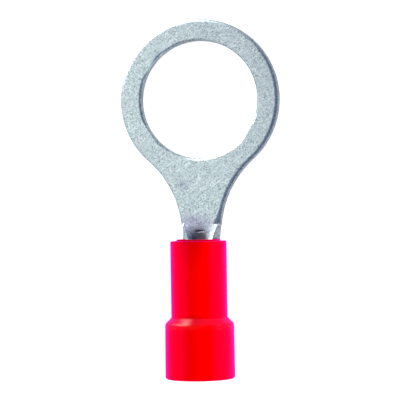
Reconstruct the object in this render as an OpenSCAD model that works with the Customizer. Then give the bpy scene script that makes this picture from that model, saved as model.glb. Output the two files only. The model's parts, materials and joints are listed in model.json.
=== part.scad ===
// Insulated ring terminal for a stud: a tin-plated copper terminal, stamped and rolled from
// one piece of sheet, with a moulded vinyl sleeve pushed on to its wire barrel.
//
// Frame: the origin is the centre of the stud hole on the underside of the ring. +Z is the
// axis of the stud, and +Y points from the wire towards the tip of the ring. The seam of the
// wire barrel faces +Z.

/* [Stud ring] */
// Diameter of the stud hole
hole_d = 8.4; // [6.4:0.1:9.2]
// Outside diameter of the ring
ring_d = 11.5; // [10.8:0.1:13]
// Thickness of the sheet
sheet_t = 0.8; // [0.7:0.05:0.9]
// Radius of the upper outer edge, which the blanking die rolls over
rollover_r = 0.3; // [0.2:0.01:0.4]
// Radius of the upper edge of the stud hole
hole_edge_r = 0.22; // [0.12:0.01:0.3]
// Radius that tumbling leaves on the other cut edges of the sheet
edge_r = 0.14; // [0.06:0.01:0.2]

/* [Neck] */
// Width of the neck where it enters the sleeve
neck_w = 2.82; // [2.4:0.02:2.9]
// Radius of the hollow on each side of the neck
neck_fillet_r = 7; // [5.5:0.1:8]
// Distance from the stud's axis to the front face of the sleeve
ring_to_sleeve = 10.05; // [9.6:0.05:12]
// Length over which the flat neck rolls up into a trough
roll_len = 1.16; // [0.9:0.02:2.4]
// Power by which the roll sets in: below 1 it starts with a crease
roll_ease = 0.7; // [0.5:0.05:1]

/* [Wire stop] */
// Radius of the chisel that nicks the floor of the trough
nick_r = 0.6; // [0.4:0.05:0.8]
// Width of the nick along the terminal
nick_w = 0.09; // [0.06:0.01:0.14]
// Depth of the nick
nick_depth = 0.08; // [0.04:0.01:0.12]
// Distance of the nick from the front face of the sleeve
nick_ahead = 0.68; // [0.5:0.02:0.8]

/* [Wire barrel] */
// Bore of the barrel, for the stripped wire
barrel_bore_d = 1.7; // [1.5:0.05:1.8]
// Length of the barrel
barrel_len = 4.8; // [4:0.1:6]
// Distance from the front face of the sleeve to the front of the barrel
barrel_setback = 0.45; // [0.4:0.05:0.8]
// Gap in the butted seam
seam_gap = 0.05; // [0.03:0.01:0.1]
// Bevel at the mouth of the barrel
mouth_bevel = 0.2; // [0.1:0.02:0.3]
// Number of grooves inside the barrel, which grip the strands
groove_count = 4; // [2:1:4]
// Width of each groove
groove_w = 0.3; // [0.2:0.05:0.4]
// Depth of each groove
groove_depth = 0.08; // [0.04:0.01:0.12]

/* [Sleeve] */
// Radial clearance between the barrel and the bore of the sleeve
barrel_fit = 0.01; // [0.005:0.005:0.03]
// Wall round the barrel
sleeve_wall = 0.34; // [0.3:0.01:0.6]
// Bore of the wider end, for the insulation of the wire
grip_bore_d = 4; // [3.8:0.1:4.6]
// Wall of the wider end
grip_wall = 0.45; // [0.4:0.05:0.7]
// Length of the wider end behind its shoulder
grip_len = 3.9; // [3:0.1:6]
// Length of the sloping shoulder outside
shoulder_len = 0.43; // [0.3:0.01:0.8]
// Distance from the end of the barrel to the start of the shoulder outside
shoulder_setback = 0.15; // [0:0.05:0.5]
// Widening of the outside radius over the length of the wider end
grip_flare = 0.03; // [0:0.01:0.06]
// Throat of the funnel that leads the strands into the barrel
throat_d = 2.1; // [2.05:0.05:2.4]
// Length of the throat behind the barrel
throat_len = 0.15; // [0.1:0.05:0.3]
// Length of the funnel
funnel_len = 1; // [0.6:0.05:1.4]
// Thickness of the lip that is turned in over the front of the barrel
lip_t = 0.25; // [0.15:0.05:0.35]
// Reach of the lip in front of the barrel's wall
lip_reach = 0.24; // [0.15:0.01:0.3]
// Clearance between the lip and the trough, which passes through a notch in it
lip_fit = 0.03; // [0.02:0.01:0.06]
// Radial width of the raised rim on the lip
rim_w = 0.13; // [0.08:0.01:0.14]
// Height of the raised rim over the front face
rim_h = 0.12; // [0.06:0.01:0.2]
// Radius of the moulded corner round the front face
front_corner_r = 0.08; // [0.04:0.01:0.2]
// Radius of the moulded corner behind the shoulder
shoulder_corner_r = 0.2; // [0.1:0.02:0.4]
// Radius of the corners at the mouth
mouth_corner_r = 0.16; // [0.08:0.01:0.19]

/* [Hidden] */
$fn = 96;
cut = 0.5;
// A rounded corner's arc stands this much proud of its two sides, so that it meets them.
arc_lap = 0.0001;

hole_r = hole_d / 2;
ring_r = ring_d / 2;
neck_r = neck_w / 2;
bore_r = barrel_bore_d / 2;
barrel_r = bore_r + sheet_t;

// The underside of the ring is level with the bottom of the barrel.
axis_z = barrel_r;
sleeve_y = -ring_to_sleeve;
lip_y = sleeve_y - lip_t;
barrel_y = sleeve_y - barrel_setback;
roll_y = sleeve_y + roll_len;

// Each hollow of the neck is an arc that is tangent to the ring and to the neck.
hollow_x = neck_r + neck_fillet_r;
hollow_y = -sqrt(pow(ring_r + neck_fillet_r, 2) - pow(hollow_x, 2));

tangent_y = hollow_y * ring_r / (ring_r + neck_fillet_r);

// The neck starts a little inside the ring, where it is clear of the stud hole's rounded edge.
neck_clear = 0.1;
neck_sink = 0.1;
neck_y = min(tangent_y, -hole_r - max(edge_r, hole_edge_r) - neck_clear);
neck_steps = 14;
roll_steps = 16;
edge_steps = 4;
face_steps = 20;

// The end of the trough runs on inside the wall of the barrel, to join it.
join_inset = 0.01;
join_len = 0.15;
join_wrap = 120;

function mix(a, b, t) = a + (b - a) * t;
function clamped(t) = max(0, min(1, t));
function unit(v) = v / norm(v);

// Half the width of the neck, seen from above.
function half_width(y) =
    y <= hollow_y ? neck_r
                  : hollow_x - sqrt(pow(neck_fillet_r, 2) - pow(y - hollow_y, 2));

// How much further a rounded edge reaches across the neck than square to its outline.
function slant(y) =
    y <= hollow_y ? 1 : neck_fillet_r / sqrt(pow(neck_fillet_r, 2) - pow(y - hollow_y, 2));

// Curvature of the rolled sheet as a share of the barrel's: 0 where it is flat, 1 at the sleeve.
function curl(y) = pow(clamped((roll_y - y) / roll_len), roll_ease);

// How far the trough has come on its way from the lip of the sleeve to the barrel, 0 to 1.
function joining(y) = clamped((lip_y - y) / (lip_y - barrel_y));

// Outside and inside radius of the rolled sheet.
function outer_radius(y) = barrel_r / curl(y) - join_inset * joining(y);
function inner_radius(y) = barrel_r / curl(y) - sheet_t + join_inset * joining(y);

// Angle from the bottom to the edge of the rolled sheet.
function wrap(y) = mix(asin(half_width(y) * curl(y) / barrel_r), join_wrap, joining(y));

// Points of a row in the opposite order.
function reversed(row) = [for (i = [len(row) - 1:-1:0]) row[i]];

// One face of the sheet's cross-section from edge to edge, where r is the radius of its rounded
// edges. Each point is [place across the sheet, depth under that face].
function face_outline(y, half, r) =
    let (reach = r * slant(y),
         corner = [for (i = [0:edge_steps])
             let (angle = 90 * i / edge_steps)
             [half - reach * (1 - cos(angle)), r * (1 - sin(angle))]])
    concat(
        [for (p = corner) [-p.x, p.y]],
        [for (i = [1:face_steps - 1]) [(half - reach) * (2 * i / face_steps - 1), 0]],
        reversed(corner));

// The outer edge is rolled over on the flat sheet's upper face only.
function flat_section(y, half) = concat(
    [for (p = face_outline(y, half, edge_r)) [p.x, y, p.y]],
    [for (p = reversed(face_outline(y, half, rollover_r))) [p.x, y, sheet_t - p.y]]);

function rolled_point(y, arc_len, mid, radius, lift) =
    let (angle = arc_len / mid * 180 / PI)
    [radius * sin(angle), y, lift - radius * cos(angle)];

// The rolling tool has ironed the upper edges back to the radius of the lower ones.
function rolled_section(y) =
    let (outer = outer_radius(y), inner = inner_radius(y), mid = (outer + inner) / 2,
         face = face_outline(y, mid * wrap(y) * PI / 180, edge_r), lift = barrel_r / curl(y))
    concat(
        [for (p = face) rolled_point(y, p.x, mid, outer - p.y, lift)],
        [for (p = reversed(face)) rolled_point(y, p.x, mid, inner + p.y, lift)]);

// A solid through cross-sections that all have the same number of points.
module loft(sections) {
    count = len(sections[0]);
    last = len(sections) - 1;
    sides = [for (j = [0:last - 1], i = [0:count - 1])
        let (a = j * count + i, b = j * count + (i + 1) % count)
        each [[a, a + count, b], [b, a + count, b + count]]];
    front = [for (i = [0:count / 2 - 2]) [i, i + 1, count - 2 - i, count - 1 - i]];
    back = [for (face = front) [for (i = reversed(face)) i + last * count]];
    polyhedron(points = [for (section = sections) each section],
               faces = concat(sides, front, back));
}

// Cuts a corner of an outline back to an arc of radius r.
module corner_cut(before, corner, after, r) {
    a = unit(before - corner);
    b = unit(after - corner);
    half_angle = acos(a * b) / 2;
    arm = r / tan(half_angle);
    centre = corner + unit(a + b) * r / sin(half_angle);
    translate(centre) difference() {
        scale(1 + cut) polygon([[0, 0], corner + arm * a - centre, corner - centre,
                                corner + arm * b - centre]);
        circle(r + arc_lap);
    }
}

// A polygon whose corners are [x, y, radius], where a radius of 0 leaves a sharp corner.
module rounded_polygon(corners) {
    points = [for (c = corners) [c.x, c.y]];
    count = len(points);
    difference() {
        polygon(points);
        for (i = [0:count - 1])
            if (corners[i].z > 0)
                corner_cut(points[(i + count - 1) % count], points[i], points[(i + 1) % count],
                           corners[i].z);
    }
}

module ring() {
    rotate_extrude() rounded_polygon([
        [hole_r, 0, edge_r], [ring_r, 0, edge_r],
        [ring_r, sheet_t, rollover_r], [hole_r, sheet_t, hole_edge_r]]);
}

// The flat neck and the trough that it rolls up into, as far as the wall of the barrel.
module neck() {
    start_half = min(half_width(neck_y), sqrt(pow(ring_r, 2) - pow(neck_y, 2))) - neck_sink;
    flats = [for (i = [0:neck_steps])
        let (y = mix(neck_y, roll_y, i / neck_steps))
        flat_section(y, i == 0 ? start_half : half_width(y))];
    rolls = [for (i = [1:roll_steps]) rolled_section(mix(roll_y, lip_y, i / roll_steps))];
    joins = [for (y = [barrel_y, barrel_y - join_len]) rolled_section(y)];
    loft(concat(flats, rolls, joins));
}

// Lays a shape that is modelled along +Z on the barrel's axis, with its front at y.
module on_axis(y) {
    translate([0, y, axis_z]) rotate([90, 0, 0]) children();
}

module groove(distance) {
    translate([0, 0, distance]) difference() {
        cylinder(r = bore_r + groove_depth, h = groove_w);
        translate([0, 0, -cut]) cylinder(r = bore_r / 2, h = groove_w + 2 * cut);
    }
}

module barrel() {
    groove_pitch = barrel_len / (groove_count + 1);
    on_axis(barrel_y) difference() {
        rotate_extrude() rounded_polygon([
            [bore_r, 0, 0], [barrel_r, 0, 0], [barrel_r, barrel_len, edge_r],
            [bore_r + mouth_bevel, barrel_len, 0], [bore_r, barrel_len - mouth_bevel, 0]]);
        translate([-seam_gap / 2, 0, -cut])
            cube([seam_gap, barrel_r + cut, barrel_len + 2 * cut]);
        // The rounded edges of the sheet leave a groove outside along the seam.
        translate([0, barrel_r, barrel_len / 2]) rotate(45)
            cube([edge_r, edge_r, barrel_len + 2 * cut], center = true);
        for (i = [1:groove_count]) groove(i * groove_pitch - groove_w / 2);
    }
}

module wire_stop() {
    translate([0, sleeve_y + nick_ahead, sheet_t - nick_depth + nick_r])
        rotate([90, 0, 0]) cylinder(r = nick_r, h = nick_w, center = true);
}

module terminal() {
    color("silver") difference() {
        union() {
            ring();
            neck();
            barrel();
        }
        wire_stop();
    }
}

// The lip, which is open at the bottom, where the trough passes through it.
module lip(seat_r) {
    lip_r = seat_r - lip_reach;
    root = lip_t / 2;
    trough_top = -bore_r * cos(asin(neck_r / barrel_r));
    difference() {
        rotate_extrude() polygon([
            [lip_r, -rim_h], [lip_r + rim_w, -rim_h], [lip_r + rim_w, 0],
            [seat_r, 0], [seat_r + root, root], [seat_r, lip_t], [lip_r, lip_t]]);
        translate([-neck_r - lip_fit, -seat_r - cut, -cut])
            cube([neck_w + 2 * lip_fit, seat_r + cut + trough_top + lip_fit, lip_t + 2 * cut]);
    }
}

// The body's section runs from the front face along the outside to the mouth, and back
// through the grip, the funnel, the throat and the seat of the barrel.
module sleeve() {
    seat_r = barrel_r + barrel_fit;
    front_r = seat_r + sleeve_wall;
    grip_in_r = grip_bore_d / 2;
    grip_r = grip_in_r + grip_wall;
    throat_r = throat_d / 2;
    seat_end = barrel_setback + barrel_len;
    funnel_start = seat_end + throat_len;
    shoulder = seat_end + shoulder_setback;
    grip = shoulder + shoulder_len;
    mouth = grip + grip_len;
    color("red") on_axis(sleeve_y) {
        lip(seat_r);
        rotate_extrude() rounded_polygon([
            [seat_r, 0, 0], [front_r, 0, front_corner_r],
            [front_r, shoulder, 0], [grip_r, grip, shoulder_corner_r],
            [grip_r + grip_flare, mouth, mouth_corner_r],
            [grip_in_r, mouth, mouth_corner_r],
            [grip_in_r, funnel_start + funnel_len, 0],
            [throat_r, funnel_start, 0], [throat_r, seat_end, 0], [seat_r, seat_end, 0]]);
    }
}

terminal();
sleeve();
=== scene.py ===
import json
import math

import bpy
import numpy as np
from mathutils import Matrix, Vector, geometry


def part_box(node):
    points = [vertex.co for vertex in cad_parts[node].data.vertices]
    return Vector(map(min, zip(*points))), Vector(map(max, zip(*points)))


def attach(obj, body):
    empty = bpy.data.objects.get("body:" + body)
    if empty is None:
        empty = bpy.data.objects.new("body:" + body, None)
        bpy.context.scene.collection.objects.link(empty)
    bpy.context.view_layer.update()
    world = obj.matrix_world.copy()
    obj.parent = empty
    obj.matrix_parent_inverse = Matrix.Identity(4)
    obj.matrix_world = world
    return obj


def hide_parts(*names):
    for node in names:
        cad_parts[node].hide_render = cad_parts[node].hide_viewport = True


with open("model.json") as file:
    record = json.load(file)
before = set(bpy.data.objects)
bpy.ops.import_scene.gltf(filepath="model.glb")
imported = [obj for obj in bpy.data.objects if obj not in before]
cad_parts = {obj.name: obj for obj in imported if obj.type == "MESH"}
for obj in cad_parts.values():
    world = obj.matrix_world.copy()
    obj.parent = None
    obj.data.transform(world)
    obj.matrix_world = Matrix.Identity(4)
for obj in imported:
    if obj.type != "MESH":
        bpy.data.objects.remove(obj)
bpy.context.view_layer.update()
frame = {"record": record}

mm = 0.001
scene = bpy.context.scene
scene.view_settings.view_transform = "Standard"

# The frame gives the sizes that the part shares with its solids.
mounts = {mount["name"]: mount for mount in frame["record"]["mounts"]}
terminalLow, terminalHigh = (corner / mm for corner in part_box("terminal"))
sleeveLow, sleeveHigh = (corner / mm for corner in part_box("sleeve"))
holeRadius = mounts["stud_hole"]["dims"]["r_mm"]
boreRadius = mounts["wire_barrel"]["dims"]["r_mm"]
gripBoreRadius = mounts["insulation_grip"]["dims"]["r_mm"]
sheet = mounts["ring_top"]["pos_m"][2] / mm
ringRadius = terminalHigh.y
barrelRadius = boreRadius + sheet
axisHeight = (sleeveLow.z + sleeveHigh.z) / 2
print("frame loaded: ring", round(2 * ringRadius, 2), "mm, sheet", round(sheet, 2), "mm")


def mix(a, b, t):
    return a + (b - a) * t


# A path through corners (x, y, radius), with each corner turned into an arc of that radius.
# Every arc gets one more point just before and after it, which keeps the shading of flats clean.
def roundedPath(corners, arcStep=12.0, lead=0.03):
    count = len(corners)
    path = []
    for i, (x, y, radius) in enumerate(corners):
        corner = Vector((x, y))
        if radius <= 0:
            path.append(corner)
            continue
        before = (Vector(corners[i - 1][:2]) - corner).normalized()
        after = (Vector(corners[(i + 1) % count][:2]) - corner).normalized()
        half = before.angle(after) / 2
        arm = radius / math.tan(half)
        centre = corner + (before + after).normalized() * radius / math.sin(half)
        start = corner + before * arm - centre
        turn = start.angle_signed(corner + after * arm - centre)
        steps = max(2, round(abs(math.degrees(turn)) / arcStep))
        path.append(centre + start + before * lead)
        for k in range(steps + 1):
            path.append(centre + Matrix.Rotation(-turn * k / steps, 2) @ start)
        path.append(corner + after * (arm + lead))
    return path


def meshObject(name, vertices, faces):
    mesh = bpy.data.meshes.new(name)
    mesh.from_pydata([tuple(v) for v in vertices], [], faces)
    mesh.validate()
    mesh.shade_smooth()
    piece = bpy.data.objects.new(name, mesh)
    scene.collection.objects.link(piece)
    return piece


terminalSizes = {  # the stamped and rolled terminal, in millimetres
    "edgeRadius": 0.14,       # cut edges after tumbling
    "holeEdgeRadius": 0.22,
    "rollover": 0.3,          # upper outer edge, as the blanking die leaves it
    "creaseRollover": 0.3,    # share that it is wider by at the crease
    "creaseReach": 0.9,
    "ironedLength": 0.12,     # behind the crease the rollover is ironed out
    "ironedRadius": 0.1,
    "pressWidth": 0.48,       # margin that the rolling tool has pressed, in front of the crease
    "pressSlope": 0.42,
    "pressLength": 1.05,
    "neckWidth": 2.82,
    "hollowRadius": 7.0,      # hollows on both sides of the neck
    "sleeveFront": 10.05,     # stud's axis to the front face of the sleeve
    "creaseAhead": 1.16,      # where the roll starts, from the front face of the sleeve
    "rollLength": 1.6,        # flat neck to full trough
    "rollEase": 0.7,          # below 1 the roll starts with a crease
    "flatBelow": 0.0001,      # share of the barrel's curvature
    "marginFirst": 0.5,       # how much the margins roll up before the middle
    "floorDip": 0.03,         # the floor of the trough is pressed down towards the sleeve
    "floorDipLength": 1.3,
    "floorDipAhead": 0.25,    # it starts this far in front of the crease
    "floorDipEnd": 0.4,       # and fades over this length at the barrel
    "floorDipReach": 0.85,    # to each side
    "lipThickness": 0.25,
    "barrelSetback": 0.45,
    "seamGap": 0.05,
    "blankCornerRadius": 0.26,
    "mouthBevel": 0.2,
    "mouthDepth": 0.6,        # share of the bevel's length
    "grooveCount": 4,         # serrations inside the barrel
    "grooveWidth": 0.3,
    "grooveDepth": 0.07,
    "grooveRound": 0.05,
    "grooveSlope": 0.08,
    "nickAhead": 0.68,        # wire stop, from the front face of the sleeve
    "nickShift": -0.1,
    "nickLength": 0.74,
    "nickWidth": 0.1,
    "nickDepth": 0.09,
    "nickFront": 0.75,        # its ends, in widths from its middle: a slope and a steep wall
    "nickBack": 0.6,
    "nickSteepness": 8,
    "topPower": 4,            # keeps such marks on the upper face
    "ringStep": 2.0,          # degrees between points round the ring
    "meshStep": 0.08,         # spacing of points where the sheet is rolled
    "outlineStep": 2.2,       # times that spacing, along the blank's outline
    "supportInset": 0.03,     # second loop inside the rims, which keeps the shading clean
    "skirtAhead": 0.4,        # the outline widens to the barrel from here
    "skirtLead": 0.3,
    "creaseRows": (-0.02, 0.0, 0.02),
    "creaseClear": (0.06, 0.08),
    "pressMargin": 0.2,
    "rimClear": 0.05,
    "ironedInset": 0.7,       # share of the rollover
    "nickRows": (-1.1, -0.75, -0.5, -0.25, 0, 0.25, 0.5, 0.75, 1.1),
    "nickReach": 0.48,
    "nickStep": 0.03,
    "nickClear": (0.5, 0.14),
}


tiny = 0.00001
rollSteps = 32


# Curvature of the rolled sheet as a share of the barrel's, at a distance behind the crease.
def curlAt(distance, s):
    return np.clip(distance / s["rollLength"], 0, 1) ** s["rollEase"]


# Maps the flat blank, given as place across, place along and height, to the rolled terminal.
# The middle layer of the sheet keeps its length, and is summed up in short steps.
def rollUp(across, along, height, blankHalf, rollStart, s):
    curl = curlAt(rollStart - along, s)
    middle = barrelRadius / np.maximum(curl, tiny) - sheet / 2
    power = np.where(curl < 1, 1 + s["marginFirst"] * (1 - curl), 1)
    steps = (np.arange(rollSteps) + 0.5) / rollSteps
    share = np.abs(across) / blankHalf
    angle = blankHalf / middle * share ** power
    angles = (blankHalf / middle)[:, None] * (share[:, None] * steps) ** power[:, None]
    x = np.abs(across) * np.cos(angles).mean(axis=1) - (height - sheet / 2) * np.sin(angle)
    z = np.abs(across) * np.sin(angles).mean(axis=1) + (height - sheet / 2) * np.cos(angle) + sheet / 2
    flat = along >= rollStart
    return np.stack([np.where(flat, across, np.sign(across) * x), along, np.where(flat, height, z)], axis=1)


def makeTerminal(s):
    edge = s["edgeRadius"]
    neckHalf = s["neckWidth"] / 2
    sleeveY = -s["sleeveFront"]
    rollStart = sleeveY + s["creaseAhead"]
    lipY = sleeveY - s["lipThickness"]
    barrelY = sleeveY - s["barrelSetback"]
    barrelEnd = terminalLow.y
    hollowX = neckHalf + s["hollowRadius"]
    hollowY = -math.sqrt((ringRadius + s["hollowRadius"]) ** 2 - hollowX ** 2)
    tangentAngle = math.atan2(hollowY, hollowX)
    tangentY = ringRadius * math.sin(tangentAngle)

    def halfWidth(y):
        if y <= hollowY:
            return neckHalf
        return hollowX - math.sqrt(s["hollowRadius"] ** 2 - (y - hollowY) ** 2)

    def blankHalf(y):  # half the width of the flat blank that rolls up to that half width
        curl = float(curlAt(rollStart - y, s))
        if curl < s["flatBelow"]:
            return halfWidth(y)
        outer = barrelRadius / curl
        return (outer - sheet / 2) * math.asin(halfWidth(y) / outer)

    # Outline of the right half of the blank, from the top of the ring to the end of the barrel.
    ringCount = round(math.degrees(math.pi / 2 - tangentAngle) / s["ringStep"])
    side = [ringRadius * Vector((math.cos(a), math.sin(a)))
            for a in (mix(math.pi / 2, tangentAngle, i / ringCount) for i in range(ringCount))]
    skirtY = lipY + s["skirtAhead"]
    sideCount = round((tangentY - skirtY) / s["meshStep"])
    side += [Vector((blankHalf(y), y))
             for y in (mix(tangentY, skirtY, i / sideCount) for i in range(sideCount + 1))]
    barrelHalf = math.pi * (barrelRadius - sheet / 2) - s["seamGap"] / 2
    corner = s["blankCornerRadius"]
    skirt = roundedPath([
        (blankHalf(lipY), lipY + s["skirtLead"], 0), (blankHalf(lipY), lipY, corner),
        (barrelHalf, barrelY, corner), (barrelHalf, barrelEnd, corner), (0, barrelEnd, 0)])[1:-1]
    side += skirt
    loop = side + [Vector((-p.x, p.y)) for p in reversed(side[1:])]

    # Even spacing, so that the rolled walls stay round.
    outline = []
    for i, p in enumerate(loop):
        q = loop[(i + 1) % len(loop)]
        pieces = max(1, round((q - p).length / (s["outlineStep"] * s["meshStep"])))
        outline += [p.lerp(q, k / pieces) for k in range(pieces)]
    outline = np.array([tuple(p) for p in outline])[::-1]

    def inward(points):  # mitred normals of a counter-clockwise loop
        ahead = np.roll(points, -1, 0) - points
        ahead /= np.linalg.norm(ahead, axis=1)[:, None]
        behind = np.roll(ahead, 1, 0)
        normal = np.stack([-(ahead + behind)[:, 1], (ahead + behind)[:, 0]], axis=1)
        normal /= np.linalg.norm(normal, axis=1)[:, None]
        cosine = np.sum(normal * np.stack([-ahead[:, 1], ahead[:, 0]], axis=1), axis=1)
        return normal / np.maximum(cosine, 0.5)[:, None]

    holeCount = round(360 / s["ringStep"])
    holeAngles = -2 * np.pi * np.arange(holeCount) / holeCount
    hole = holeRadius * np.stack([np.cos(holeAngles), np.sin(holeAngles)], axis=1)

    # The rollover is full round the ring and the neck, widens to the crease, and ends behind it.
    along = outline[:, 1]
    widening = 1 + s["creaseRollover"] * np.clip(1 - np.abs(along - rollStart) / s["creaseReach"], 0, 1)
    ironed = np.clip((rollStart - along) / s["ironedLength"], 0, 1)
    outlineDrop = mix(s["rollover"], s["ironedRadius"], ironed)
    widening = mix(widening, 1, ironed)
    outlineReach = outlineDrop * widening
    holeDrop = np.full(holeCount, s["holeEdgeRadius"])
    loops = [(outline, inward(outline), outlineReach, outlineDrop),
             (hole, inward(hole), holeDrop, holeDrop)]

    # The rim is a wall between two rounds, from top to bottom, as (inset, height) of each loop.
    def rimOf(reach, drop):
        quarter = [math.radians(90 * k / 8) for k in range(9)]
        rows = [(reach * (1 - math.sin(a)), sheet - drop * (1 - math.cos(a))) for a in quarter]
        rows += [(0 * reach, mix(sheet - drop, edge, k / 3)) for k in (1, 2)]
        rows += [(edge * (1 - math.sin(a)) + 0 * reach, edge * (1 - math.cos(a)) + 0 * reach)
                 for a in reversed(quarter)]
        return rows + [(reach, 0 * reach)]

    # Flat points inside the rim: two supporting loops and a grid where the sheet is rolled.
    constraints, constraintEdges = [], []
    for extra in (0, s["supportInset"]):
        for points, normals, reach, _ in loops:
            first = len(constraints)
            constraints += [tuple(p) for p in points + normals * (reach + extra)[:, None]]
            count = len(points)
            constraintEdges += [(first + k, first + (k + 1) % count) for k in range(count)]
    step = s["meshStep"]
    clearBehind, clearAhead = s["creaseClear"]
    rows = np.concatenate([
        np.arange(barrelEnd + step, rollStart - clearBehind, step),
        rollStart + np.array(s["creaseRows"]),
        np.arange(rollStart + clearAhead, rollStart + s["pressLength"] + s["pressMargin"], step)])
    grooves = [mix(barrelY, barrelEnd, (k + 1) / (s["grooveCount"] + 1)) for k in range(s["grooveCount"])]
    columns = np.arange(-barrelHalf, barrelHalf, step)
    grid = np.array([(x, y) for y in rows for x in columns])
    nickY = sleeveY + s["nickAhead"]
    nickX = np.arange(-s["nickReach"], s["nickReach"] + 0.001, s["nickStep"]) + s["nickShift"]
    nickGrid = np.array([(x, nickY + row * s["nickWidth"]) for row in s["nickRows"] for x in nickX])
    clearX, clearY = s["nickClear"]
    nearNick = (np.abs(grid[:, 0] - s["nickShift"]) < clearX) & (np.abs(grid[:, 1] - nickY) < clearY)
    grid = np.concatenate([grid[~nearNick], nickGrid])
    reach = np.array([edgeOfBlank(y, blankHalf, lipY, barrelY, barrelHalf) for y in grid[:, 1]])
    inset = s["rollover"] * np.where(grid[:, 1] > rollStart, 1 + s["creaseRollover"], s["ironedInset"])
    inset = np.where(grid[:, 1] > lipY, inset, edge)
    grid = grid[np.abs(grid[:, 0]) < reach - inset - s["rimClear"]]
    fence = np.array(constraints)
    clear = np.array([np.min(np.sum((fence - p) ** 2, axis=1)) > (0.5 * step) ** 2 for p in grid])
    grid = grid[clear & (grid[:, 1] > barrelEnd + edge + s["rimClear"])]
    flat = [Vector(p) for p in constraints] + [Vector(p) for p in grid]
    points, _, triangles, origins, *_ = geometry.delaunay_2d_cdt(flat, constraintEdges, [], 1, 1e-6)
    found = {given: k for k, sources in enumerate(origins) for given in sources}
    points = np.array([tuple(p) for p in points])
    triangles = np.array(triangles)
    middle = points[triangles].mean(axis=1)
    triangles = triangles[np.hypot(middle[:, 0], middle[:, 1]) > holeRadius + edge * 0.5]
    a, b, c = (points[triangles[:, k]] for k in range(3))
    turn = (b - a)[:, 0] * (c - a)[:, 1] - (b - a)[:, 1] * (c - a)[:, 0]
    triangles[turn < 0] = triangles[turn < 0][:, ::-1]

    # Vertices: both faces, then the loops of the two rims between them.
    count = len(points)
    across = [points[:, 0], points[:, 0]]
    along = [points[:, 1], points[:, 1]]
    height = [np.full(count, sheet), np.zeros(count)]
    faces = [tuple(f) for f in triangles] + [tuple(f[::-1] + count) for f in triangles]
    total = 2 * count
    first = 0
    for outlinePoints, normals, reach, drop in loops:
        size = len(outlinePoints)
        top = [found[first + k] for k in range(size)]
        first += size
        previous = top
        for inset, level in rimOf(reach, drop)[1:-1]:
            ring = outlinePoints + normals * inset[:, None]
            across.append(ring[:, 0])
            along.append(ring[:, 1])
            height.append(level)
            current = list(range(total, total + size))
            faces += [(previous[k], current[k], current[(k + 1) % size], previous[(k + 1) % size])
                      for k in range(size)]
            previous = current
            total += size
        bottom = [k + count for k in top]
        faces += [(previous[k], bottom[k], bottom[(k + 1) % size], previous[(k + 1) % size])
                  for k in range(size)]
    across, along, height = (np.concatenate(part) for part in (across, along, height))

    # Work on the flat blank: wire stop, serrations and the bevel at the barrel's mouth.
    topness = np.clip(height / sheet, 0, 1) ** s["topPower"]
    nick = np.clip(1 - ((across - s["nickShift"]) / (s["nickLength"] / 2)) ** 2, 0, 1)
    fromNick = (along - nickY) / s["nickWidth"]
    wall = s["nickSteepness"] * (fromNick + s["nickBack"])
    nick *= np.clip(np.minimum(s["nickFront"] - fromNick, wall), 0, 1)
    height = height - s["nickDepth"] * nick * topness
    pressed = np.clip(1 - (along - rollStart) / s["pressLength"], 0, 1) * (along > rollStart - 0.001)
    margin = np.clip(across - neckHalf + s["pressWidth"] * pressed, 0, 1)
    height = height - s["pressSlope"] * margin * pressed * topness
    dip = np.clip((rollStart + s["floorDipAhead"] - along) / s["floorDipLength"], 0, 1)
    dip *= np.clip((along - barrelY) / s["floorDipEnd"], 0, 1)
    dip = dip * dip * (3 - 2 * dip)
    central = np.clip(1 - (across / s["floorDipReach"]) ** 2, 0, 1)
    height = height - s["floorDip"] * dip * central * topness
    for y in grooves:
        fromGroove = np.abs(along - y)
        inside = np.clip((s["grooveWidth"] / 2 + s["grooveRound"] - fromGroove) / s["grooveSlope"], 0, 1)
        height = height - s["grooveDepth"] * inside * topness
    mouth = np.clip(1 - (along - barrelEnd) / s["mouthBevel"], 0, 1)
    height = height - s["mouthDepth"] * s["mouthBevel"] * mouth * topness

    halves = np.array([blankHalf(y) for y in np.clip(along, lipY, rollStart)])
    vertices = rollUp(across, along, height, halves, rollStart, s) * mm
    return meshObject("tinned_terminal", vertices, faces)


def edgeOfBlank(y, blankHalf, lipY, barrelY, barrelHalf):
    if y > lipY:
        return blankHalf(y)
    if y < barrelY:
        return barrelHalf
    return mix(blankHalf(lipY), barrelHalf, (lipY - y) / (lipY - barrelY))


terminal = makeTerminal(terminalSizes)
print("terminal:", len(terminal.data.polygons), "faces")


# Small helpers for node trees.
def socketOf(sockets, key):  # some nodes keep hidden sockets of the same name for other types
    if isinstance(key, int):
        return sockets[key]
    return next(socket for socket in sockets if socket.name == key and socket.enabled)


def place(tree, kind, values=(), **settings):  # adds a node, and sets its properties and inputs
    node = tree.nodes.new(kind)
    for name, value in settings.items():
        setattr(node, name, value)
    for key, value in dict(values).items():
        socket = socketOf(node.inputs, key)
        if isinstance(value, bpy.types.NodeSocket):
            tree.links.new(value, socket)
        else:
            socket.default_value = value
    return node


def calc(tree, operation, a, b=0.0, c=0.0):
    return place(tree, "ShaderNodeMath", {0: a, 1: b, 2: c}, operation=operation).outputs[0]


# Rises from 0 where the value is at start to top where it is at end, and eases in and out if smooth.
def ramp(tree, value, start, end, top=1.0, smooth=False):
    way = "SMOOTHSTEP" if smooth else "LINEAR"
    node = place(tree, "ShaderNodeMapRange", {0: value, 1: start, 2: end, 4: top}, interpolation_type=way)
    return node.outputs[0]


def addSockets(tree, inputs=(), outputs=()):
    for direction, rows in (("INPUT", inputs), ("OUTPUT", outputs)):
        for name, kind, *default in rows:
            socket = tree.interface.new_socket(name, in_out=direction, socket_type=kind)
            if default:
                socket.default_value = default[0]


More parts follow.
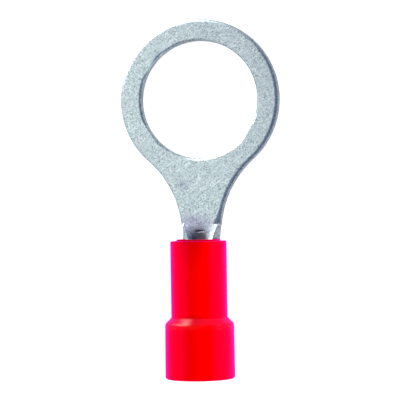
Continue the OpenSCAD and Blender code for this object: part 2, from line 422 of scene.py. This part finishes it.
sleeveSizes = {  # the moulded sleeve, in millimetres along the axis from its front face
    "frontCorner": 0.09,
    "rimHeight": 0.12,        # raised rim round the opening
    "rimInner": 1.42,
    "rimOuter": 1.55,
    "lipThickness": 0.25,
    "frontRadius": 2.0,
    "seatEnd": 5.25,          # where the end of the barrel rests
    "throatRadius": 1.05,
    "throatLength": 0.15,
    "funnelLength": 1.0,
    "shoulderStart": 5.4,
    "shoulderLength": 0.43,
    "shoulderCorner": 0.28,
    "shoulderHollow": 0.12,
    "gripRadius": 2.45,
    "gripFlare": 0.03,
    "mouthCorner": 0.17,
    "seatClearance": 0.01,
    "rimRound": 0.05,
    "rimFoot": 0.025,
    "innerRound": 0.03,
    "seatRound": 0.04,
    "throatRound": 0.05,
    "funnelRound": 0.15,
    "arcStep": 15.0,          # degrees between points round the corners
    "arcLead": 0.02,
    "segments": 192,
    "outOfRound": 0.004,      # share of the radius
    "ovalTurn": 0.6,          # radians
    "weld": 0.000002,         # metres
}


def makeLathe():  # Geometry Nodes: turns the points of a section round the Y axis
    tree = bpy.data.node_groups.new("turnedSection", "GeometryNodeTree")
    addSockets(tree, [
        ("Section", "NodeSocketGeometry"),
        ("Segments", "NodeSocketInt", 96),
        ("Front", "NodeSocketFloat", 0.0),
        ("Axis Height", "NodeSocketFloat", 0.0),
        ("Out Of Round", "NodeSocketFloat", 0.0),
        ("Oval Turn", "NodeSocketFloat", 0.0),
        ("Weld", "NodeSocketFloat", 0.000002),
        ("Material", "NodeSocketMaterial"),
    ], [("Geometry", "NodeSocketGeometry")])
    given = place(tree, "NodeGroupInput").outputs
    position = place(tree, "GeometryNodeInputPosition").outputs[0]
    size = place(tree, "GeometryNodeAttributeDomainSize", {"Geometry": given["Section"]})
    count = size.outputs["Point Count"]
    columns = calc(tree, "ADD", given["Segments"], 1)
    grid = place(tree, "GeometryNodeMeshGrid", {
        "Size X": 1.0, "Size Y": 1.0, "Vertices X": columns, "Vertices Y": count})
    spot = place(tree, "ShaderNodeSeparateXYZ", {0: position}).outputs
    angle = calc(tree, "MULTIPLY_ADD", spot["X"], 2 * math.pi, math.pi)
    last = calc(tree, "SUBTRACT", count, 1)
    row = calc(tree, "ROUND", calc(tree, "MULTIPLY", calc(tree, "ADD", spot["Y"], 0.5), last))
    sampled = {"Geometry": given["Section"], "Value": position, "Index": row}
    sample = place(tree, "GeometryNodeSampleIndex", sampled, data_type="FLOAT_VECTOR", domain="POINT")
    section = place(tree, "ShaderNodeSeparateXYZ", {0: socketOf(sample.outputs, "Value")}).outputs
    oval = calc(tree, "COSINE", calc(tree, "MULTIPLY_ADD", angle, 2.0, given["Oval Turn"]))
    stretch = calc(tree, "MULTIPLY_ADD", oval, given["Out Of Round"], 1.0)
    radius = calc(tree, "MULTIPLY", section["X"], stretch)
    across = calc(tree, "MULTIPLY", radius, calc(tree, "SINE", angle))
    height = calc(tree, "MULTIPLY_ADD", radius, calc(tree, "COSINE", angle), given["Axis Height"])
    along = calc(tree, "SUBTRACT", given["Front"], section["Y"])
    target = place(tree, "ShaderNodeCombineXYZ", {"X": across, "Y": along, "Z": height}).outputs[0]
    turned = place(tree, "GeometryNodeSetPosition", {"Geometry": grid.outputs["Mesh"], "Position": target})
    welded = place(tree, "GeometryNodeMergeByDistance", {
        "Geometry": turned.outputs["Geometry"], "Distance": given["Weld"]})
    smooth = place(tree, "GeometryNodeSetShadeSmooth", {"Geometry": welded.outputs["Geometry"]})
    real = place(tree, "GeometryNodeRealizeInstances", {"Geometry": smooth.outputs["Geometry"]})
    dressed = place(tree, "GeometryNodeSetMaterial", {
        "Geometry": real.outputs["Geometry"], "Material": given["Material"]})
    place(tree, "NodeGroupOutput", {"Geometry": dressed.outputs["Geometry"]})
    return tree


def runNodes(name, source, tree, values):  # the tree's result on that mesh, as a plain mesh object
    piece = bpy.data.objects.new(name, source)
    scene.collection.objects.link(piece)
    modifier = piece.modifiers.new("nodes", "NODES")
    modifier.node_group = tree
    sockets = {item.name: item.identifier for item in tree.interface.items_tree if item.in_out == "INPUT"}
    for key, value in values.items():
        modifier[sockets[key]] = value
    graph = bpy.context.evaluated_depsgraph_get()
    result = bpy.data.meshes.new_from_object(
        piece.evaluated_get(graph), preserve_all_data_layers=True, depsgraph=graph)
    piece.modifiers.remove(modifier)
    piece.data = result
    return piece


def makeSleeve(s, lathe, vinyl):
    seatRadius = barrelRadius + s["seatClearance"]
    innerRound = s["innerRound"]
    seatEnd = s["seatEnd"]
    funnelStart = seatEnd + s["throatLength"]
    gripStart = s["shoulderStart"] + s["shoulderLength"]
    mouth = -terminalSizes["sleeveFront"] - sleeveLow.y
    section = roundedPath([
        (s["rimInner"], -s["rimHeight"], innerRound),
        (s["rimOuter"], -s["rimHeight"], s["rimRound"]),
        (s["rimOuter"], 0, s["rimFoot"]),
        (s["frontRadius"], 0, s["frontCorner"]),
        (s["frontRadius"], s["shoulderStart"], s["shoulderHollow"]),
        (s["gripRadius"], gripStart, s["shoulderCorner"]),
        (s["gripRadius"] + s["gripFlare"], mouth, s["mouthCorner"]),
        (gripBoreRadius, mouth, s["mouthCorner"]),
        (gripBoreRadius, funnelStart + s["funnelLength"], s["funnelRound"]),
        (s["throatRadius"], funnelStart, s["throatRound"]),
        (s["throatRadius"], seatEnd, s["seatRound"]),
        (seatRadius, seatEnd, innerRound),
        (seatRadius, s["lipThickness"], innerRound),
        (s["rimInner"], s["lipThickness"], innerRound)], arcStep=s["arcStep"], lead=s["arcLead"])
    section.append(section[0])
    points = [(p.x * mm, p.y * mm, 0) for p in section]
    profile = bpy.data.meshes.new("sleeveSection")
    profile.from_pydata(points, [(i, i + 1) for i in range(len(points) - 1)], [])
    return runNodes("vinyl_sleeve", profile, lathe, {
        "Segments": s["segments"],
        "Front": -terminalSizes["sleeveFront"] * mm,
        "Axis Height": axisHeight * mm,
        "Out Of Round": s["outOfRound"],
        "Oval Turn": s["ovalTurn"],
        "Weld": s["weld"],
        "Material": vinyl})


vinylLook = {  # places along the sleeve are in millimetres behind its front face
    "colour": (0.78, 0.0, 0.0, 1.0),
    "deepColour": (0.75, 0.0, 0.0, 1.0),
    "shadedColour": (0.55, 0.0, 0.0, 1.0),
    "frontShade": 0.6,        # painted shade: the front and the hollow before the shoulder are a little darker
    "frontShadeLength": 2.5,
    "hollowShade": 0.6,
    "hollowShadeLength": 0.45,
    "grain": 0.25,            # millimetres, and so is the mottle
    "mottle": 2.5,
    "mottleFrom": 0.3,
    "mottleTo": 0.7,
    "bump": 0.15,
    "bumpHeight": 0.004,
    "roughness": 0.2,
    "roughnessSpread": 0.12,
    "gloss": 0.0,
    "sheen": 0.2,
    "sheenTint": (1.0, 0.2, 1.0, 1.0),
    "sheenRoughness": 0.3,
    "paintedSideSheen": (0.0, 0.0, 0.0105, 1.0),  # painted sheen: the base colour turns magenta towards the sides
    "sideFrom": 0.04,
    "sideTo": 0.14,
    "paintedRimSheen": (0.0, 0.02, 0.56, 1.0),
    "rimPower": 3.8,
    "polish": 0.15,           # the shoulder is glossier, where the mould has polished it
    "polishLength": 0.72,
    "polishFade": 0.14,
    "polishRoughness": 0.1,
}

metalLook = {
    "colour": (0.745, 0.885, 0.9, 1.0),
    "darkGrain": (0.36, 0.45, 0.48, 1.0),
    "dullPatch": (0.58, 0.69, 0.72, 1.0),
    "speck": (0.24, 0.28, 0.31, 1.0),
    "sparkle": (0.88, 0.98, 1.0, 1.0),
    "scratchAngle": 38,       # degrees; fine scratches run this way across the flat
    "scratchSize": (0.0008, 0.0001, 0.001),
    "scratchFrom": 0.63,
    "scratchTo": 0.7,
    "scratchDepth": 0.7,
    "troughShade": (0.07, 0.07, 0.1, 1.0),      # painted shade, dark in the floor of the trough at the barrel
    "troughShadePlace": (-0.0001, -0.0101, 0.0008),
    "troughShadeReach": (0.001, 0.0014, 0.0006),
    "violetShade": (0.77, 0.7, 0.84, 1.0),   # painted shade, faint violet, round it on the neck
    "violetShadePlace": (-0.0004, -0.009, 0.0008),
    "violetShadeReach": (0.0017, 0.0012, 0.0006),
    "smudge": (0.78, 0.78, 0.84, 1.0),
    "smudgePlace": (-0.0012, -0.0061, 0.0008),
    "smudgeReach": (0.0006, 0.0006, 0.0005),
    "shadedSide": (0.86, 0.5, 0.0),         # painted shade: one side of the ring is a little darker
    "shadedSideFrom": -0.001,
    "shadedSideTo": 0.006,
    "sideShade": (0.84, 0.83, 0.86, 1.0),
    "roughness": 0.3,
    "roughnessSpread": 0.2,
    "grain": 0.11,            # millimetres, and so is the mottle
    "mottle": 1.1,
    "speckShare": 0.05,
    "sparkleShare": 0.05,
    "grainFrom": 0.38,
    "grainTo": 0.62,
    "dullFrom": 0.6,
    "dullTo": 0.42,
    "dullDepth": 0.5,
    "speckDepth": 0.8,
    "troughShadeDepth": 0.93,
    "bump": 0.5,
    "bumpHeight": 0.008,
}

grainLook = {
    "detail": 2.0,
    "mottleDetail": 5.0,
    "octaveShare": 0.6,
    "cellShare": 0.9,         # specks against the grain
    "coreFrom": 0.65,
    "coreTo": 0.4,
}


def makeGrain(look):  # fine grain, with a slow mottle and thinly strewn specks and sparkles
    tree = bpy.data.node_groups.new("fineGrain", "ShaderNodeTree")
    addSockets(tree, [
        ("Grain Size", "NodeSocketFloat", 0.1),
        ("Mottle Size", "NodeSocketFloat", 1.5),
        ("Speck Share", "NodeSocketFloat", 0.04),
        ("Sparkle Share", "NodeSocketFloat", 0.04),
    ], [(name, "NodeSocketFloat") for name in ("Height", "Mottle", "Specks", "Sparkles")])
    given = place(tree, "NodeGroupInput").outputs
    spot = place(tree, "ShaderNodeTexCoord").outputs["Object"]
    scaled = place(tree, "ShaderNodeVectorMath", {0: spot, "Scale": 1 / mm}, operation="SCALE").outputs[0]
    fine = calc(tree, "DIVIDE", 1.0, given["Grain Size"])
    slow = calc(tree, "DIVIDE", 1.0, given["Mottle Size"])
    noise = {"Vector": scaled, "Roughness": look["octaveShare"]}
    grain = place(tree, "ShaderNodeTexNoise", {**noise, "Scale": fine, "Detail": look["detail"]})
    mottle = place(tree, "ShaderNodeTexNoise", {**noise, "Scale": slow, "Detail": look["mottleDetail"]})
    cells = place(tree, "ShaderNodeTexVoronoi", {
        "Vector": scaled, "Scale": calc(tree, "MULTIPLY", fine, look["cellShare"])})
    pick = place(tree, "ShaderNodeSeparateColor", {0: cells.outputs["Color"]}).outputs
    core = ramp(tree, cells.outputs["Distance"], look["coreFrom"], look["coreTo"])
    specks = calc(tree, "MULTIPLY", calc(tree, "LESS_THAN", pick[0], given["Speck Share"]), core)
    sparkles = calc(tree, "MULTIPLY", calc(tree, "LESS_THAN", pick[1], given["Sparkle Share"]), core)
    place(tree, "NodeGroupOutput", {
        "Height": grain.outputs[0], "Mottle": mottle.outputs[0], "Specks": specks, "Sparkles": sparkles})
    return tree


def blend(tree, factor, a, b, way="MIX"):  # a colour from two, each given as a colour or a socket
    node = place(tree, "ShaderNodeMix", {"Factor": factor}, data_type="RGBA", blend_type=way)
    for index, colour in ((6, a), (7, b)):
        if isinstance(colour, bpy.types.NodeSocket):
            tree.links.new(colour, node.inputs[index])
        else:
            node.inputs[index].default_value = colour
    return node.outputs[2]


def patch(tree, spot, centre, reach, core=0.35):  # soft oval mask, full over that share of its reach
    offset = place(tree, "ShaderNodeVectorMath", {0: spot, 1: centre}, operation="SUBTRACT").outputs[0]
    reached = place(tree, "ShaderNodeVectorMath", {0: offset, 1: reach}, operation="DIVIDE").outputs[0]
    away = place(tree, "ShaderNodeVectorMath", {0: reached}, operation="LENGTH").outputs["Value"]
    return ramp(tree, away, 1.0, core, smooth=True)


def newMaterial(name):
    material = bpy.data.materials.new(name)
    material.use_nodes = True
    tree = material.node_tree
    return material, tree, tree.nodes["Principled BSDF"]


# Links the base colour, a roughness that varies with one mask, and a bump from another.
def linkSurface(tree, shader, base, mask, height, look):
    tree.links.new(base, shader.inputs["Base Color"])
    spread = look["roughnessSpread"]
    rough = calc(tree, "MULTIPLY_ADD", mask, spread, look["roughness"] - spread / 2)
    tree.links.new(rough, shader.inputs["Roughness"])
    bump = place(tree, "ShaderNodeBump", {
        "Height": height, "Strength": look["bump"], "Distance": look["bumpHeight"] * mm})
    tree.links.new(bump.outputs[0], shader.inputs["Normal"])


def makeTinnedCopper(grain, look):
    material, tree, shader = newMaterial("tinnedCopper")
    texture = place(tree, "ShaderNodeGroup", {
        "Grain Size": look["grain"], "Mottle Size": look["mottle"],
        "Speck Share": look["speckShare"], "Sparkle Share": look["sparkleShare"]}, node_tree=grain).outputs
    fine = ramp(tree, texture["Height"], look["grainFrom"], look["grainTo"])
    dull = ramp(tree, texture["Mottle"], look["dullFrom"], look["dullTo"], look["dullDepth"])
    base = blend(tree, fine, look["darkGrain"], look["colour"])
    base = blend(tree, dull, base, look["dullPatch"])
    for marks, tint in (("Specks", "speck"), ("Sparkles", "sparkle")):
        base = blend(tree, calc(tree, "MULTIPLY", texture[marks], look["speckDepth"]), base, look[tint])
    spot = place(tree, "ShaderNodeTexCoord").outputs["Object"]
    drawn = place(tree, "ShaderNodeMapping", {
        "Vector": spot, "Rotation": (0.0, 0.0, math.radians(look["scratchAngle"])),
        "Scale": look["scratchSize"]}, vector_type="TEXTURE").outputs[0]
    lines = place(tree, "ShaderNodeTexNoise", {"Vector": drawn, "Scale": 1.0, "Detail": 1.0}).outputs[0]
    scratches = ramp(tree, lines, look["scratchFrom"], look["scratchTo"], look["scratchDepth"])
    base = blend(tree, scratches, base, look["sparkle"])
    # Painted shade: one side of the ring is darkened in the base colour.
    side = place(tree, "ShaderNodeVectorMath", {0: spot, 1: look["shadedSide"]}, operation="DOT_PRODUCT")
    sideShaded = ramp(tree, side.outputs["Value"], look["shadedSideFrom"], look["shadedSideTo"])
    base = blend(tree, sideShaded, base, look["sideShade"], "MULTIPLY")
    # Painted shade: a faint violet darkening on the neck round the trough.
    violetShaded = patch(tree, spot, look["violetShadePlace"], look["violetShadeReach"])
    base = blend(tree, violetShaded, base, look["violetShade"], "MULTIPLY")
    smudged = patch(tree, spot, look["smudgePlace"], look["smudgeReach"])
    base = blend(tree, smudged, base, look["smudge"], "MULTIPLY")
    # Painted shade: the floor of the trough at the barrel is darkened in the base colour.
    troughShaded = patch(tree, spot, look["troughShadePlace"], look["troughShadeReach"])
    base = blend(tree, calc(tree, "MULTIPLY", troughShaded, look["troughShadeDepth"]), base, look["troughShade"])
    shader.inputs["Metallic"].default_value = 1.0
    linkSurface(tree, shader, base, texture["Height"], texture["Height"], look)
    return material


def makeVinyl(grain, look):
    material, tree, shader = newMaterial("redVinyl")
    texture = place(tree, "ShaderNodeGroup", {
        "Grain Size": look["grain"], "Mottle Size": look["mottle"]}, node_tree=grain).outputs
    tone = ramp(tree, texture["Mottle"], look["mottleFrom"], look["mottleTo"])
    spot = place(tree, "ShaderNodeTexCoord").outputs["Object"]
    along = place(tree, "ShaderNodeSeparateXYZ", {0: spot}).outputs["Y"]
    behind = calc(tree, "MULTIPLY_ADD", along, -1 / mm, -terminalSizes["sleeveFront"])
    shoulder = sleeveSizes["shoulderStart"]
    # Painted shade towards the front and in the hollow before the shoulder.
    front = ramp(tree, behind, look["frontShadeLength"], 0.0, look["frontShade"], smooth=True)
    fromShoulder = calc(tree, "ABSOLUTE", calc(tree, "SUBTRACT", behind, shoulder))
    hollow = ramp(tree, fromShoulder, look["hollowShadeLength"], 0.0, look["hollowShade"], smooth=True)
    ahead = calc(tree, "LESS_THAN", behind, shoulder)
    shade = calc(tree, "MAXIMUM", front, calc(tree, "MULTIPLY", hollow, ahead))
    red = blend(tree, tone, look["deepColour"], look["colour"])
    shaded = blend(tree, shade, red, look["shadedColour"])
    # Painted sheen: magenta is added to the base colour where the surface turns away from the view.
    turned = place(tree, "ShaderNodeLayerWeight", {"Blend": 0.5}).outputs["Facing"]
    side = ramp(tree, turned, look["sideFrom"], look["sideTo"], smooth=True)
    sheened = blend(tree, side, shaded, look["paintedSideSheen"], "ADD")
    base = blend(tree, calc(tree, "POWER", turned, look["rimPower"]), sheened, look["paintedRimSheen"], "ADD")
    half = look["polishLength"] / 2
    fromMiddle = calc(tree, "ABSOLUTE", calc(tree, "SUBTRACT", behind, shoulder + half))
    fade = look["polishFade"]
    polish = ramp(tree, fromMiddle, half + fade, half - fade, look["polish"], smooth=True)
    tree.links.new(polish, shader.inputs["Coat Weight"])
    shader.inputs["Coat Roughness"].default_value = look["polishRoughness"]
    shader.inputs["Specular IOR Level"].default_value = look["gloss"]
    shader.inputs["Sheen Weight"].default_value = look["sheen"]
    shader.inputs["Sheen Roughness"].default_value = look["sheenRoughness"]
    shader.inputs["Sheen Tint"].default_value = look["sheenTint"]
    linkSurface(tree, shader, base, texture["Mottle"], texture["Height"], look)
    return material


grain = makeGrain(grainLook)
tinnedCopper = makeTinnedCopper(grain, metalLook)
redVinyl = makeVinyl(grain, vinylLook)
terminal.data.materials.append(tinnedCopper)
sleeve = makeSleeve(sleeveSizes, makeLathe(), redVinyl)
print("sleeve:", len(sleeve.data.polygons), "faces")

for piece, node, slot in ((terminal, "terminal", "tinned_copper"), (sleeve, "sleeve", "red_vinyl")):
    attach(piece, "root")
    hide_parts(node)


white = (1.0, 1.0, 1.0, 1.0)

studio = {
    "floorSize": 1.2,         # metres
    "floorGap": 0.00001,      # under the part
    "tipReach": 0.005,
    "floorColour": (0.66, 0.66, 0.66, 1.0),
    "floorRoughness": 0.15,   # polished, so that it doubles the window low down
    "floorGlow": 0.7,
    "floorMirrored": 0.02,
    "brightSide": (-0.97, 0.24, 0.0),
    "darkFrom": -0.42,
    "brightFrom": 0.2,
    "darkTone": (0.17, 0.2, 0.31, 1.0),
    "sideTone": (0.72, 0.74, 0.76, 1.0),
    "brightTone": (0.95, 0.95, 0.95, 1.0),
    "overheadFrom": 0.1,
    "overheadTo": 0.9,
}


def makeFloor(s):
    # The part lies on the tip of its ring and on the shoulder of its sleeve.
    points = [v.co for piece in (terminal, sleeve) for v in piece.data.vertices]
    tip = max(points, key=lambda p: p.y - 4 * abs(p.z))
    slope = max(-p.z / (tip.y - p.y) for p in points if p.y < tip.y - s["tipReach"])
    half = s["floorSize"] / 2
    corners = ((-half, -half), (half, -half), (half, half), (-half, half))
    rows = [(x, y, -slope * (tip.y - y) - s["floorGap"]) for x, y in corners]
    floor = meshObject("studio_floor", rows, [(0, 1, 2, 3)])
    material, tree, shader = newMaterial("paleFloor")
    shader.inputs["Base Color"].default_value = s["floorColour"]
    shader.inputs["Roughness"].default_value = s["floorRoughness"]
    path = place(tree, "ShaderNodeLightPath").outputs
    mirrored = calc(tree, "MAXIMUM", path["Is Glossy Ray"], path["Is Transmission Ray"])
    dim = calc(tree, "MULTIPLY", mirrored, s["floorMirrored"])
    glow = calc(tree, "MULTIPLY_ADD", path["Is Camera Ray"], s["floorGlow"], dim)
    tree.links.new(glow, shader.inputs["Emission Strength"])
    shader.inputs["Emission Color"].default_value = white
    floor.data.materials.append(material)


# Bright on one side and dark on the other, and white where the camera looks past the floor.
def makeWorld(s):
    world = bpy.data.worlds.new("studio")
    world.use_nodes = True
    tree = world.node_tree
    background = tree.nodes["Background"]
    ray = place(tree, "ShaderNodeTexCoord").outputs["Generated"]
    side = place(tree, "ShaderNodeVectorMath", {0: ray, 1: s["brightSide"]}, operation="DOT_PRODUCT")
    level = ramp(tree, side.outputs["Value"], s["darkFrom"], s["brightFrom"], smooth=True)
    rise = place(tree, "ShaderNodeSeparateXYZ", {0: ray}).outputs["Z"]
    overhead = ramp(tree, rise, s["overheadFrom"], s["overheadTo"], smooth=True)
    bright = blend(tree, overhead, s["sideTone"], s["brightTone"])
    tone = blend(tree, level, s["darkTone"], bright)
    seen = place(tree, "ShaderNodeLightPath").outputs["Is Camera Ray"]
    tree.links.new(blend(tree, seen, tone, white), background.inputs["Color"])
    scene.world = world


lamps = {  # metres and watts; the fills show in no reflection, and the window only in reflections
    "right_fill": {
        "position": (0.3, -0.04, 0.06), "target": (0, -0.01, 0), "size": (0.3, 0.1), "power": 2.1,
        "shines": False, "fills": True},
    "left_fill": {
        "position": (-0.3, -0.04, 0.06), "target": (0, -0.01, 0), "size": (0.3, 0.1), "power": 1.3,
        "shines": False, "fills": True},
    "window": {
        "position": (-0.3, 0.38, 0.1), "target": (0, 0, 0), "size": (0.4, 0.12), "power": 9,
        "shines": True, "fills": False},
}


def addLamp(name, position, target, size, power, shines, fills):
    lamp = bpy.data.lights.new(name, "AREA")
    lamp.shape = "RECTANGLE"
    lamp.size, lamp.size_y = size
    lamp.energy = power
    holder = bpy.data.objects.new(name, lamp)
    holder.visible_glossy = shines
    holder.visible_diffuse = fills
    holder.location = position
    holder.rotation_euler = (Vector(target) - Vector(position)).to_track_quat("-Z", "Y").to_euler()
    scene.collection.objects.link(holder)


cameraSizes = {  # millimetres and degrees
    "distance": 132.5,
    "yaw": 11.5,
    "roll": 0.9,
    "lens": 167.6,
    "sensorWidth": 36,
    "clipStart": 1,
    "aimRight": 0.11,
    "aimDown": 7.16,
}


def makeCamera(s):
    yaw, roll = math.radians(s["yaw"]), math.radians(s["roll"])
    level = Vector((math.cos(yaw), 0, -math.sin(yaw)))
    back = Vector((math.sin(yaw), 0, math.cos(yaw)))
    right = math.cos(roll) * level - math.sin(roll) * Vector((0, 1, 0))
    up = math.cos(roll) * Vector((0, 1, 0)) + math.sin(roll) * level
    aim = Vector((0, 0, sheet)) + s["aimRight"] * right - s["aimDown"] * up
    camera = bpy.data.objects.new("camera", bpy.data.cameras.new("camera"))
    camera.data.lens = s["lens"]
    camera.data.sensor_width = s["sensorWidth"]
    camera.data.clip_start = s["clipStart"] * mm
    spot = (aim + s["distance"] * back) * mm
    camera.matrix_world = Matrix.Translation(spot) @ Matrix((right, up, back)).transposed().to_4x4()
    scene.collection.objects.link(camera)
    scene.camera = camera


makeFloor(studio)
makeWorld(studio)
for name, values in lamps.items():
    addLamp(name, **values)
makeCamera(cameraSizes)
print("studio ready")
